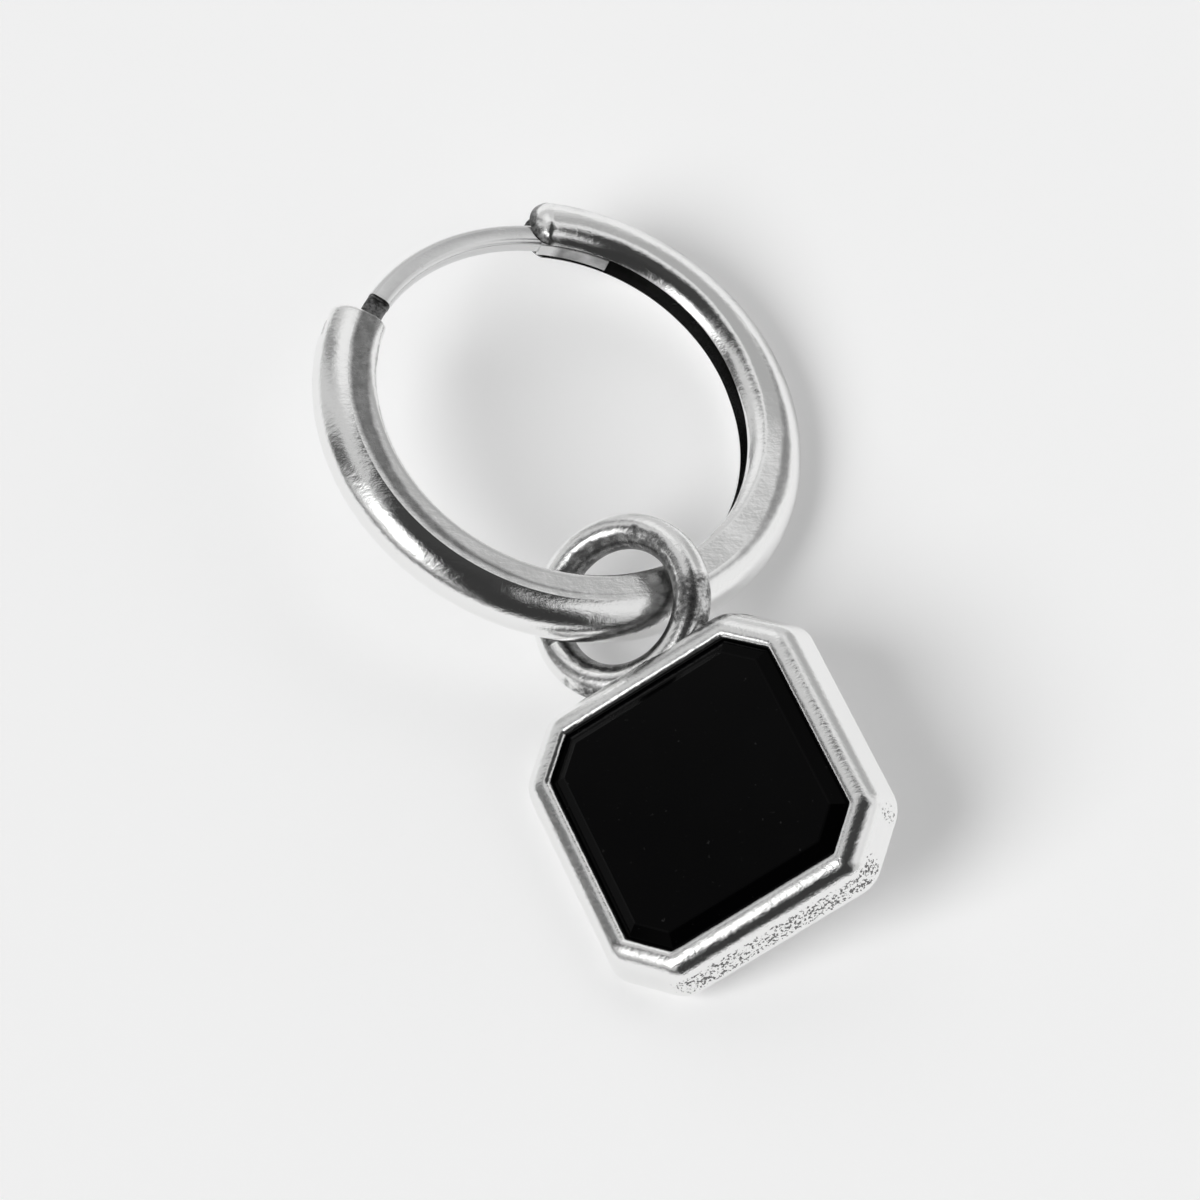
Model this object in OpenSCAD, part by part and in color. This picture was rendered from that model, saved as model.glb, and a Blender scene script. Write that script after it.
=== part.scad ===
/* [Hoop] */
// Radius of the hoop's middle line
hoop_r = 5.60; // [5.4:0.02:5.8]
// Radius of the tube's domed outside
dome_r = 0.72; // [0.69:0.01:0.75]
// How far the dome's centre lies outside the middle line
dome_out = 0.18; // [0.12:0.01:0.22]
// Distance of the flat inner face inside the middle line
flat_in = 0.62; // [0.58:0.01:0.66]
// Half the width of the flat inner face
flat_half = 0.66; // [0.60:0.01:0.67]
// Radius of the flat face's two long edges
flat_edge_r = 0.07; // [0.04:0.01:0.09]
// Angle at which the tube ends at the catch
front_end = 333; // [331:0.5:334]
// Angle at which the tube ends at the hinge
hinge_end = 271.5; // [270.5:0.25:272.5]
// Rounding of the tube's end at the catch
end_round = 0.18; // [0.06:0.02:0.2]
// Radius of the ball that rounds the tube's end at the hinge
ball_r = 0.76; // [0.75:0.01:0.78]
// Radius of the rounded inner side towards the hinge
taper_r = 0.73; // [0.73:0.01:0.76]
// How far that rounded side moves out as the tube gets thinner
taper = 0.28; // [0.2:0.01:0.32]
// Distance of the rounded side's mean centre inside the middle line
taper_in = 0.09; // [0.05:0.01:0.14]
// Direction in which the tube is thinnest
taper_turn = 250; // [245:1:265]
// Tilt of the hoop as it lies
hoop_tilt = 17.55; // [16:0.05:19]
// Direction of the hoop's raised side
hoop_turn = 187.82; // [184:0.02:192]

/* [Channel] */
// Half the width of the channel for the post's tail
slot_half = 0.29; // [0.28:0.01:0.32]
// Angle at which the channel starts
channel_start = 148; // [140:1:160]
// Depth of the channel's floor outside the middle line
channel_floor = 0.30; // [0.1:0.02:0.36]
// Depth of the catch groove's inner wall inside the middle line
catch_wall = 0.37; // [0.34:0.01:0.42]
// Length of the catch groove
catch_len = 0.85; // [0.7:0.05:1.1]

/* [Ear post] */
// Half the thickness of the post along the hinge pin
post_half = 0.26; // [0.22:0.01:0.27]
// Post's inner edge, inside the middle line
post_in = 0.43; // [0.40:0.01:0.46]
// Post's outer edge, outside the middle line
post_out = 0.18; // [0.10:0.01:0.2]
// Half the thickness left at the catch notch
notch_half = 0.15; // [0.12:0.01:0.2]
// Length of the catch notch
notch_len = 0.80; // [0.5:0.05:0.9]
// Inner edge of the tip that enters the catch groove
tip_in = 0.32; // [0.25:0.01:0.33]
// Length of the tip that shows before the catch
tip_show = 0.06; // [0.04:0.02:0.2]
// Length of the tip inside the catch groove
tip_len = 0.60; // [0.4:0.05:0.7]
// Inner edge of the tail that lies in the channel
tail_in = 0.48; // [0.46:0.01:0.52]
// Outer edge of the tail, outside the middle line
tail_out = 0.05; // [0:0.01:0.1]
// Angle at which the tail ends
tail_end = 247.5; // [240:0.5:255]

/* [Hinge] */
// Angle of the hinge pin
pin_angle = 264.25; // [263.5:0.25:265]
// Distance of the hinge pin outside the middle line
pin_out = 0.18; // [0.12:0.01:0.22]
// Radius of the hinge pin
pin_r = 0.20; // [0.16:0.01:0.22]
// Gap between the pin and each hole
pin_gap = 0.015; // [0.01:0.005:0.03]
// Radius of the post's eye round the pin
eye_r = 0.44; // [0.4:0.01:0.5]

/* [Loop] */
// Radius of the loop's middle line
loop_r = 1.975; // [1.93:0.005:2.05]
// Radius of the loop's wire
loop_wire_r = 0.47; // [0.42:0.01:0.48]
// Loop centre, above the stone's centre along the drop
loop_up = 5.70; // [5.64:0.01:5.76]
// Loop centre, to the right of the stone's centre
loop_right = 0.275; // [0.2:0.005:0.35]
// Loop centre, behind the stone's edge
loop_back = 0.535; // [0.45:0.005:0.6]
// Turn of the loop about the drop's length
loop_turn = -5.1; // [-7:0.1:-3]

/* [Setting and stone] */
// Half the width of the stone as it shows inside the bezel
stone_half = 3.20; // [3.16:0.01:3.24]
// Leg of the stone's cut corners
corner_leg = 0.88; // [0.7:0.02:1.0]
// Width of the bead's inner side, from the stone's edge to the crest
lip_width = 0.18; // [0.14:0.01:0.22]
// Radius of the bead's inner side
lip_r = 0.19; // [0.18:0.005:0.24]
// Radius of the bead's outer side
bead_r = 0.59; // [0.55:0.01:0.62]
// Angle over which the bead's outer side rounds down to the wall
bead_turn = 71.6; // [66:0.2:74]
// Half the width of the wall at its foot
foot_half = 4.13; // [4.05:0.01:4.2]
// Height of the bead's crest above the stone's edge
crest_up = 0.13; // [0.1:0.01:0.18]
// Depth of the wall's foot below the stone's edge
wall_bottom = 0.95; // [0.86:0.01:1.0]
// Half the width of the flat middle of the back
back_half = 2.10; // [1.8:0.1:2.6]
// Rise of the stone's table above the stone's edge
table_up = 0.20; // [0.12:0.01:0.26]
// Width of the sloped band round the table
table_band = 0.40; // [0.3:0.02:0.5]
// Gap between the stone and its bezel
stone_gap = 0.025; // [0.02:0.005:0.04]
// Depth of the stone's flat base below its edge
stone_base = 1.05; // [0.9:0.01:1.2]
// Tilt of the drop as it lies
drop_tilt = 24.46; // [23:0.02:26]
// Direction in which the loop points from the stone
drop_turn = 113.78; // [112:0.02:116]

/* [Hidden] */
$fn = 96;
end_steps = 3;
edge_steps = 4;
bead_steps = 8;
lip_steps = 4;
// Reach of a cutter that goes through the tube
tube_reach = 1.2;
// Degrees that two joined lengths of the hoop share
share = 1;
degree = hoop_r * PI / 180;
front_start = front_end - 360;
// The lying hoop's middle line is as high as its lowest edge needs
hoop_z = (hoop_r + dome_out) * sin(hoop_tilt) + dome_r;
// The drop lies on the sloping left part of its back
drop_z = foot_half * sin(drop_tilt) + wall_bottom * cos(drop_tilt);
back_depth = wall_bottom + (foot_half - back_half) * tan(drop_tilt);
// Centre of the ball at the hinge end
ball_angle = hinge_end - ball_r / ((hoop_r + dome_out) * PI / 180);
crest_half = stone_half + lip_width;
// Half the width inside which the loop's wire is cut away
loop_cut = crest_half + 0.24;
// The stone sits under the bezel's lip with its widest part
seat_half = stone_half + 0.12;
girdle_half = seat_half - stone_gap;
girdle_down = 0.10;
base_bevel = 0.2;
table_edge = 0.1;
loop_at = turned([loop_right, loop_up, -loop_back], drop_turn - 90, -drop_tilt);
// The hoop passes through the loop where its middle line is as high as the loop's centre
link_angle = acos((drop_z + loop_at[2] - hoop_z) / (hoop_r * sin(hoop_tilt)));
link_at = turned([hoop_r * cos(link_angle), hoop_r * sin(link_angle), 0], hoop_turn, -hoop_tilt);
drop_x = link_at[0] - loop_at[0];
drop_y = link_at[1] - loop_at[1];
// Middle of the whole outline on the floor, from the hoop's centre
outline_x = 1.0463;
outline_y = -4.4664;

// A point turned by a tilt about Y and then by a turn about Z
function turned(p, turn, tilt) =
    let (x = p[0] * cos(tilt) + p[2] * sin(tilt), z = p[2] * cos(tilt) - p[0] * sin(tilt))
    [x * cos(turn) - p[1] * sin(turn), x * sin(turn) + p[1] * cos(turn), z];

// Leg of an octagon's cut corner at a half width, parallel to the stone's
function leg(half) = corner_leg + (half - stone_half) * (2 - sqrt(2));

// Corners of an octagon at one height
function octagon(half, z) =
    let (a = half, b = half - leg(half))
    [[a, -b, z], [a, b, z], [b, a, z], [-b, a, z], [-a, b, z], [-a, -b, z], [-b, -a, z], [b, -a, z]];

// Rows along an arc that starts level at the bead's crest
function crest_arc(r, angles) =
    [for (a = angles) [crest_half + r * sin(a), crest_up + r * (cos(a) - 1)]];

// A closed solid through octagons, each row a half width and a height
module octagon_stack(rows) {
    last = len(rows) - 1;
    polyhedron(
        points = [for (row = rows) each octagon(row[0], row[1])],
        faces = concat(
            [[for (k = [0:7]) k]],
            [for (i = [0:last - 1], k = [0:7]) let (a = 8 * i + k, b = 8 * i + (k + 1) % 8) [b, a, a + 8, b + 8]],
            [[for (k = [7:-1:0]) 8 * last + k]]
        )
    );
}

// The tube's cross-section, less a margin all round, with its flat face towards the hoop's centre
module tube_section(margin = 0) {
    edge_r = max(flat_edge_r - margin, 0.01);
    edge_at = [flat_edge_r - flat_in, flat_half - flat_edge_r];
    dome_at = [dome_out, 0];
    to_dome = dome_at - edge_at;
    slope = atan2(to_dome[1], to_dome[0]) + acos((flat_edge_r - dome_r) / norm(to_dome));
    turns = [for (k = [0:edge_steps]) 180 + (slope - 180) * k / edge_steps];
    edge = [for (a = turns) edge_at + edge_r * [cos(a), sin(a)]];
    inside_dome = dome_at + (dome_r - margin - 0.02) * [cos(slope - 8), sin(slope - 8)];
    upper = concat(edge, [inside_dome]);
    lower = [for (k = [len(upper) - 1:-1:0]) [upper[k][0], -upper[k][1]]];
    translate(dome_at) circle(dome_r - margin);
    polygon(concat(upper, lower));
}

// Sweeps a section along the hoop, from one angle over a number of degrees
module along_hoop(start, sweep) {
    rotate_extrude(angle = sweep, start = start, $fn = 180) translate([hoop_r, 0]) children();
}

// What is cut from the tube's inner side so that it gets rounder and thinner towards the hinge
module inner_taper() {
    translate([taper * cos(taper_turn), taper * sin(taper_turn), 0])
        rotate_extrude($fn = 180) translate([hoop_r - taper_in, 0]) difference() {
            translate([-2 * tube_reach, -tube_reach]) square([2 * tube_reach, 2 * tube_reach]);
            circle(taper_r);
        }
}

// A slab across the tube between two radii, for slots and strips
module strip(start, sweep, inner, outer, half) {
    along_hoop(start, sweep) translate([-inner, -half]) square([inner + outer, 2 * half]);
}

// A cylinder along the hinge pin's axis
module at_pin(r, length) {
    rotate([0, 0, pin_angle]) translate([hoop_r + pin_out, 0, 0]) cylinder(h = length, r = r, center = true);
}

module lay_hoop() {
    translate([-outline_x, -outline_y, hoop_z]) rotate([0, 0, hoop_turn]) rotate([0, -hoop_tilt, 0]) children();
}

module lay_drop() {
    translate([drop_x - outline_x, drop_y - outline_y, drop_z])
        rotate([0, 0, drop_turn - 90]) rotate([0, -drop_tilt, 0]) children();
}

// What is cut away round the ball at the hinge end
module outside_ball() {
    rotate([0, 0, ball_angle]) translate([hoop_r + dome_out, 0, 0]) difference() {
        translate([-tube_reach, 0, -tube_reach]) cube(2 * tube_reach);
        sphere(ball_r);
    }
}

// The C-shaped tube with the channel for the post's tail, the hinge slot and the catch groove
module hoop() {
    color("silver") lay_hoop() difference() {
        union() {
            along_hoop(front_start + end_round / degree, hinge_end - front_start - end_round / degree)
                tube_section();
            for (k = [1:end_steps]) {
                turn = end_round * sin(90 * k / (end_steps + 1));
                cut = end_round * (1 - cos(90 * k / (end_steps + 1)));
                along_hoop(front_start + (end_round - turn) / degree, 10) tube_section(cut);
            }
        }
        inner_taper();
        outside_ball();
        strip(channel_start, 130, tube_reach, channel_floor, slot_half);
        strip(pin_angle - 8, 20, tube_reach, tube_reach, slot_half);
        strip(front_start - 2, 2 + catch_len / degree, catch_wall, tube_reach, slot_half);
        at_pin(pin_r + pin_gap, 2 * tube_reach);
    }
}

module hinge_pin() {
    color("silver") lay_hoop() at_pin(pin_r, 2 * dome_r - 0.06);
}

// The post with its tail, eye, catch notch and tip
module ear_post() {
    notch_end = front_end - tip_show / degree;
    notch_start = notch_end - notch_len / degree;
    color("gainsboro") lay_hoop() difference() {
        union() {
            at_pin(eye_r, 2 * post_half);
            strip(tail_end, pin_angle - tail_end + 4, tail_in, tail_out, post_half);
            strip(pin_angle, notch_start - pin_angle, post_in, post_out, post_half);
            strip(notch_start - share, notch_end - notch_start + 2 * share, post_in, post_out, notch_half);
            strip(notch_end, (tip_show + tip_len) / degree, tip_in, post_out, post_half);
        }
        at_pin(pin_r + pin_gap, 2 * tube_reach);
    }
}

// The bezel with the loop soldered to its upper side
module setting() {
    color("silver") lay_drop() {
        bezel();
        difference() {
            loop();
            cube(2 * loop_cut, center = true);
        }
    }
}

module bezel() {
    lip_turn = asin(lip_width / lip_r);
    octagon_stack(concat(
        [[back_half, -back_depth], [foot_half, -wall_bottom]],
        crest_arc(bead_r, [for (k = [bead_steps:-1:1]) bead_turn * k / bead_steps]),
        crest_arc(lip_r, [for (k = [0:lip_steps]) -lip_turn * k / lip_steps]),
        [[seat_half, -girdle_down + 0.01], [seat_half, -stone_base - stone_gap]]
    ));
}

module loop() {
    translate([loop_right, loop_up, -loop_back]) rotate([0, loop_turn, 0])
        rotate_extrude() translate([loop_r, 0]) circle(loop_wire_r);
}

module stone() {
    color("black") lay_drop() octagon_stack([
        [girdle_half - base_bevel, -stone_base],
        [girdle_half, base_bevel - stone_base],
        [girdle_half, -girdle_down],
        [stone_half - table_band, table_up],
        [stone_half - table_band - table_edge, table_up + 0.01]
    ]);
}

hoop();
hinge_pin();
ear_post();
setting();
stone();
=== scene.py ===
"""Huggie earring with a black stone drop: finishes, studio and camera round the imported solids."""

import math

import bmesh
import bpy
from bpy.props import FloatProperty, FloatVectorProperty, PointerProperty
from mathutils import Matrix, Vector


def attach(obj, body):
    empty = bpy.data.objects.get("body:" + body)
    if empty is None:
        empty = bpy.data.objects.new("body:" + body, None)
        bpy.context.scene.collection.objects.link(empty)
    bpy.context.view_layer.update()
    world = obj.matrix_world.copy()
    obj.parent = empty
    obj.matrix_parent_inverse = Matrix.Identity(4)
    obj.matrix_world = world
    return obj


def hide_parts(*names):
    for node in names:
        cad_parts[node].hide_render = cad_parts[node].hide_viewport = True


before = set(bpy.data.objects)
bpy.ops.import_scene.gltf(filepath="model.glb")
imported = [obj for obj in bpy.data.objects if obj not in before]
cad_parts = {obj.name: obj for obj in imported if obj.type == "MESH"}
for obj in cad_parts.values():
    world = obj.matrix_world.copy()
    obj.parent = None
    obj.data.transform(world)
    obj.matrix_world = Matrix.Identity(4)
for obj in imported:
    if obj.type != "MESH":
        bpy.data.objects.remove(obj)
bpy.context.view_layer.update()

bl_info = {
    "name": "Huggie earring",
    "version": (1, 0, 0),
    "blender": (4, 5, 0),
    "location": "3D View > Sidebar > Earring",
    "description": "Builds the earring's polished pieces, its finishes and the studio",
    "category": "Object",
}

MAIN_BODY = "hoop_and_drop"
POST_BODY = "post"
DEGREE = math.radians(1)
# How far a cutter reaches past the tube's middle line, in metres
CUT_REACH = 0.0012


def length(name, millimetres, about):
    metres = millimetres / 1000
    return FloatProperty(name=name, description=about, default=metres, unit="LENGTH", precision=6)


def turn(name, degrees, about):
    radians = math.radians(degrees)
    return FloatProperty(name=name, description=about, default=radians, subtype="ANGLE", unit="ROTATION")


def share(name, value, about):
    return FloatProperty(name=name, description=about, default=value, min=0.0, max=1.0)


def colour(name, value, about):
    return FloatVectorProperty(
        name=name, description=about, default=value, size=3, min=0.0, max=1.0, subtype="COLOR",
    )


class HoopSizes(bpy.types.PropertyGroup):
    middle_r: length("Hoop radius", 5.60, "Radius of the hoop's middle line")
    dome_r: length("Dome radius", 0.72, "Radius of the tube's domed outside")
    dome_out: length("Dome offset", 0.18, "How far the dome's centre lies outside the middle line")
    flat_in: length("Flat face", 0.62, "Distance of the flat inner face inside the middle line")
    flat_half: length("Half flat face", 0.68, "Half the width of the flat inner face")
    flat_edge_r: length("Flat face's edges", 0.14, "Radius of the flat face's two long edges")
    front_end: turn("Catch end", 333, "Angle at which the tube ends at the catch")
    hinge_end: turn("Hinge end", 271.5, "Angle at which the tube ends at the hinge")
    end_round: length("End rounding", 0.18, "Rounding of the tube's end at the catch")
    ball_r: length("Ball radius", 0.76, "Radius of the ball that rounds the tube's end at the hinge")
    taper_r: length("Taper radius", 0.73, "Radius of the rounded inner side towards the hinge")
    taper: length("Taper", 0.28, "How far that rounded side moves out as the tube gets thinner")
    taper_in: length("Taper offset", 0.09, "Mean distance of that side's centre inside the middle line")
    taper_turn: turn("Taper direction", 250, "Direction in which the tube is thinnest")
    tilt: turn("Hoop tilt", 17.55, "Tilt of the hoop as it lies")
    turn: turn("Hoop turn", 187.82, "Direction of the hoop's raised side")
    middle_x: length("Hoop across", -1.0463, "Hoop's centre across, from the middle of the whole outline")
    middle_y: length("Hoop away", 4.4664, "Hoop's centre away, from the middle of the whole outline")
    slot_half: length("Half channel", 0.29, "Half the width of the channel for the post's tail")
    channel_start: turn("Channel start", 148, "Angle at which the channel starts")
    channel_turn: turn("Channel angle", 130, "Angle over which the channel is cut, past the hinge end")
    channel_floor: length("Channel floor", 0.30, "Depth of the channel's floor outside the middle line")
    catch_wall: length("Catch wall", 0.37, "Depth of the catch groove's inner wall inside the middle line")
    catch_len: length("Catch length", 0.85, "Length of the catch groove")
    pin_angle: turn("Pin angle", 264.25, "Angle of the hinge pin")
    slot_before: turn("Slot start", 8, "Angle by which the open hinge slot starts before the pin")
    slot_turn: turn("Slot angle", 20, "Angle over which the hinge slot is cut, past the hinge end")
    crown: share("Crown", 0.36, "Slope that the tube's flanks take on at the middle of the dome")
    lean: share("Lean", 0.21, "Slope by which the tube's far side leans outward")


class PostSizes(bpy.types.PropertyGroup):
    half: length("Half thickness", 0.26, "Half the thickness of the post along the hinge pin")
    bar_in: length("Inner edge", 0.43, "Post's inner edge, inside the middle line")
    bar_out: length("Outer edge", 0.18, "Post's outer edge, outside the middle line")
    notch_half: length("Notch half thickness", 0.15, "Half the thickness left at the catch notch")
    notch_len: length("Notch length", 0.80, "Length of the catch notch")
    notch_step: length("Notch step", 0.01, "How far the notch's inner and outer edges lie inside the post's")
    tip_in: length("Tip inner edge", 0.32, "Inner edge of the tip that enters the catch groove")
    tip_show: length("Tip showing", 0.06, "Length of the tip that shows before the catch")
    tip_len: length("Tip length", 0.60, "Length of the tip inside the catch groove")
    tail_in: length("Tail inner edge", 0.48, "Inner edge of the tail that lies in the channel")
    tail_out: length("Tail outer edge", 0.05, "Outer edge of the tail, outside the middle line")
    tail_end: turn("Tail end", 247.5, "Angle at which the tail ends")
    eye_r: length("Eye radius", 0.44, "Radius of the post's eye round the pin")
    pin_out: length("Pin offset", 0.18, "Distance of the hinge pin outside the middle line")
    pin_hole_r: length("Pin hole radius", 0.215, "Radius of the hole for the hinge pin")
    edge: length("Edge rounding", 0.17, "Rounding of the post's long edges")


class DropSizes(bpy.types.PropertyGroup):
    stone_half: length("Half stone", 3.20, "Half the width of the stone as it shows inside the bezel")
    corner_leg: length("Corner leg", 0.88, "Leg of the stone's cut corners")
    lip_width: length("Lip width", 0.18, "Width of the bead's inner side, from the stone's edge to the crest")
    lip_r: length("Lip radius", 0.19, "Radius of the bead's inner side")
    bead_r: length("Bead radius", 0.59, "Radius of the bead's outer side")
    bead_turn: turn("Bead turn", 71.6, "Angle over which the bead's outer side rounds down to the wall")
    foot_half: length("Half foot", 4.13, "Half the width of the wall at its foot")
    crest_up: length("Crest", 0.13, "Height of the bead's crest above the stone's edge")
    wall_bottom: length("Wall foot", 0.95, "Depth of the wall's foot below the stone's edge")
    back_half: length("Half back", 2.10, "Half the width of the flat middle of the back")
    corner_r: length("Corner rounding", 0.08, "Rounding of the bezel's corners where it meets the stone")
    table_up: length("Table rise", 0.20, "Rise of the stone's table above the stone's edge")
    table_band: length("Table band", 0.40, "Width of the sloped band round the table")
    stone_base: length("Stone depth", 1.05, "Depth of the stone's flat base below its edge")
    seat_gap: length("Seat gap", 0.025, "Gap between the stone and its bezel")
    seat_out: length("Seat offset", 0.12, "How far the stone's seat lies outside the stone's visible edge")
    seat_down: length("Seat edge", 0.09, "Depth of the seat's upper edge below the stone's edge")
    girdle_down: length("Girdle edge", 0.10, "Depth of the stone's widest line below its visible edge")
    base_edge: length("Base edge", 0.20, "Bevel round the stone's hidden base")
    stone_corner_r: length("Stone corners", 0.05, "Rounding of the stone's corners")
    tilt: turn("Drop tilt", 24.46, "Tilt of the drop as it lies")
    turn: turn("Drop turn", 113.78, "Direction in which the loop points from the stone")
    loop_r: length("Loop radius", 1.975, "Radius of the loop's middle line")
    wire_r: length("Loop wire", 0.47, "Radius of the loop's wire")
    loop_up: length("Loop height", 5.70, "Loop centre, above the stone's centre along the drop")
    loop_right: length("Loop shift", 0.275, "Loop centre, to the right of the stone's centre")
    loop_back: length("Loop depth", 0.535, "Loop centre, behind the stone's edge")
    loop_turn: turn("Loop turn", -5.1, "Turn of the loop about the drop's length")
    loop_end: length("Loop end", 0.24, "Distance outside the bead's crest at which the loop's wire ends")


class FinishColours(bpy.types.PropertyGroup):
    silver: colour("Silver", (0.93, 0.93, 0.925), "Colour of the polished silver")
    post: colour("Post", (0.80, 0.80, 0.80), "Colour of the post's drawn wire")
    shade: colour("Shade", (0.08, 0.08, 0.08), "Colour of the tarnish in pits and round the loop")
    # Near-black colour: painted shade in the channel, slots and catch notch, tarnish with painted shade round
    # the hinge slot, painted dark reflection streaks along the hoop, and the darker tail of the post
    painted_dark: colour("Hollow", (0.05, 0.05, 0.05), "Colour of the dull metal in the channel, slots and notch")
    # Dust on the stone; the same colour also gives the table its painted sheen
    dust_and_sheen: colour("Dust", (0.02, 0.02, 0.02), "Colour of the dust on the stone")
    stone: colour("Stone", (0.0006, 0.0006, 0.0007), "Colour of the black stone")
    floor: colour("Floor", (0.88, 0.88, 0.88), "Colour of the surface under the earring")


class StudioSettings(bpy.types.PropertyGroup):
    base: share("Tent", 0.60, "Brightness of the studio's pale walls")
    window: FloatProperty(name="Window", description="Strength of the window's light", default=1.75, min=0.0)
    window_size: turn("Window size", 34, "Angle across the window as the earring sees it")
    window_turn: turn("Window direction", 214, "Direction of the window")
    window_up: turn("Window height", 40, "Height of the window above the surface")
    camera_up: turn("Camera height", 61.28, "Angle of the camera above the surface")
    camera_far: length("Camera distance", 128, "Distance from the camera to the point it looks at")
    aim_x: length("Aim across", -0.0083, "Point that the camera looks at, across")
    aim_y: length("Aim away", 0.4954, "Point that the camera looks at, away")


def settings(name):
    return getattr(bpy.context.scene, "earring_" + name)


def hoop_height():
    hoop = settings("hoop")
    return (hoop.middle_r + hoop.dome_out) * math.sin(hoop.tilt) + hoop.dome_r


def lay_hoop():
    """Place of the hoop's own frame, tilted so that the tube rests on the surface."""
    hoop = settings("hoop")
    return (
        Matrix.Translation((hoop.middle_x, hoop.middle_y, hoop_height()))
        @ Matrix.Rotation(hoop.turn, 4, "Z")
        @ Matrix.Rotation(-hoop.tilt, 4, "Y")
    )


def lay_drop():
    """Place of the drop's own frame: on a slope of its back, with the hoop through its loop."""
    hoop, drop = settings("hoop"), settings("drop")
    turned = Matrix.Rotation(drop.turn - math.pi / 2, 4, "Z") @ Matrix.Rotation(-drop.tilt, 4, "Y")
    drop_z = drop.foot_half * math.sin(drop.tilt) + drop.wall_bottom * math.cos(drop.tilt)
    loop_at = turned @ Vector((drop.loop_right, drop.loop_up, -drop.loop_back))
    link = math.acos((drop_z + loop_at.z - hoop_height()) / (hoop.middle_r * math.sin(hoop.tilt)))
    link_at = lay_hoop() @ Vector((hoop.middle_r * math.cos(link), hoop.middle_r * math.sin(link), 0))
    place = Vector((link_at.x - loop_at.x, link_at.y - loop_at.y, drop_z))
    return Matrix.Translation(place) @ turned


def loop_frame(drop):
    """Place of the loop in the drop's frame."""
    centre = Matrix.Translation((drop.loop_right, drop.loop_up, -drop.loop_back))
    return centre @ Matrix.Rotation(drop.loop_turn, 4, "Y")


def pin_frame(hoop, post):
    """Place of the hinge pin in the hoop's frame."""
    return Matrix.Rotation(hoop.pin_angle, 4, "Z") @ Matrix.Translation((hoop.middle_r + post.pin_out, 0, 0))


def make_object(name, bm):
    mesh = bpy.data.meshes.new(name)
    bm.to_mesh(mesh)
    bm.free()
    piece = bpy.data.objects.new(name, mesh)
    bpy.context.scene.collection.objects.link(piece)
    return piece


def combine(piece, other, operation):
    """Joins a closed mesh to a piece or cuts it out of it, and removes it."""
    modifier = piece.modifiers.new("combine", "BOOLEAN")
    modifier.operation = operation
    modifier.solver = "EXACT"
    modifier.object = other
    bpy.context.view_layer.objects.active = piece
    bpy.ops.object.modifier_apply(modifier=modifier.name)
    bpy.data.objects.remove(other)


def smooth_by_angle(piece, degrees):
    bm = bmesh.new()
    bm.from_mesh(piece.data)
    bmesh.ops.remove_doubles(bm, verts=bm.verts, dist=1e-7)
    bmesh.ops.recalc_face_normals(bm, faces=bm.faces)
    for face in bm.faces:
        face.smooth = True
    for edge in bm.edges:
        edge.smooth = len(edge.link_faces) == 2 and edge.calc_face_angle(0) < math.radians(degrees)
    bm.to_mesh(piece.data)
    bm.free()


def finish_piece(piece, material, body, node):
    piece.data.materials.clear()
    piece.data.materials.append(material)
    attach(piece, body)
    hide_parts(node)


def swept(bm, start, sweep, steps):
    """Spins an outline round the hoop's axis and closes both ends."""
    bmesh.ops.rotate(bm, verts=bm.verts, matrix=Matrix.Rotation(start, 3, "Z"))
    bmesh.ops.spin(
        bm, geom=bm.verts[:] + bm.edges[:], cent=(0, 0, 0), axis=(0, 0, 1),
        dvec=(0, 0, 0), angle=sweep, steps=steps, use_duplicate=False,
    )
    bmesh.ops.holes_fill(bm, edges=[e for e in bm.edges if e.is_boundary], sides=0)
    bmesh.ops.recalc_face_normals(bm, faces=bm.faces)
    return bm


def round_corners(bm, corners, offset, segments):
    bmesh.ops.bevel(
        bm, geom=corners, offset=offset, segments=segments, profile=0.5, affect="VERTICES", material=-1,
    )


def standing_circle(radius, out, segments):
    """A circle that stands across the tube, at a distance from the hoop's axis."""
    bm = bmesh.new()
    bmesh.ops.create_circle(bm, segments=segments, radius=radius)
    bmesh.ops.rotate(bm, verts=bm.verts, matrix=Matrix.Rotation(math.pi / 2, 3, "X"))
    bmesh.ops.translate(bm, verts=bm.verts, vec=(out, 0, 0))
    return bm


def strip(start, sweep, inner, outer, half, edge=0.0):
    """A slab across the tube between two radii, with its long edges rounded where asked."""
    middle = settings("hoop").middle_r
    bm = bmesh.new()
    outline = ((-inner, -half), (outer, -half), (outer, half), (-inner, half))
    corners = [bm.verts.new((middle + x, 0, z)) for x, z in outline]
    bm.faces.new(corners)
    if edge:
        round_corners(bm, corners, edge, segments=4)
    bmesh.ops.delete(bm, geom=bm.faces[:], context="FACES_ONLY")
    steps = max(2, round(abs(sweep) / DEGREE))
    return swept(bm, start, sweep, steps)


def cylinder_at_pin(radius, depth):
    hoop, post = settings("hoop"), settings("post")
    bm = bmesh.new()
    bmesh.ops.create_cone(bm, cap_ends=True, segments=64, radius1=radius, radius2=radius, depth=depth)
    bmesh.ops.transform(bm, matrix=pin_frame(hoop, post), verts=bm.verts)
    return bm


def wire_ring(ring_r, wire_r):
    """A closed ring of round wire about the Z axis."""
    bm = standing_circle(wire_r, ring_r, segments=64)
    bmesh.ops.spin(
        bm, geom=bm.verts[:] + bm.edges[:], cent=(0, 0, 0), axis=(0, 0, 1), dvec=(0, 0, 0),
        angle=2 * math.pi, steps=180, use_merge=True, use_duplicate=False,
    )
    bmesh.ops.recalc_face_normals(bm, faces=bm.faces)
    return bm


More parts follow.
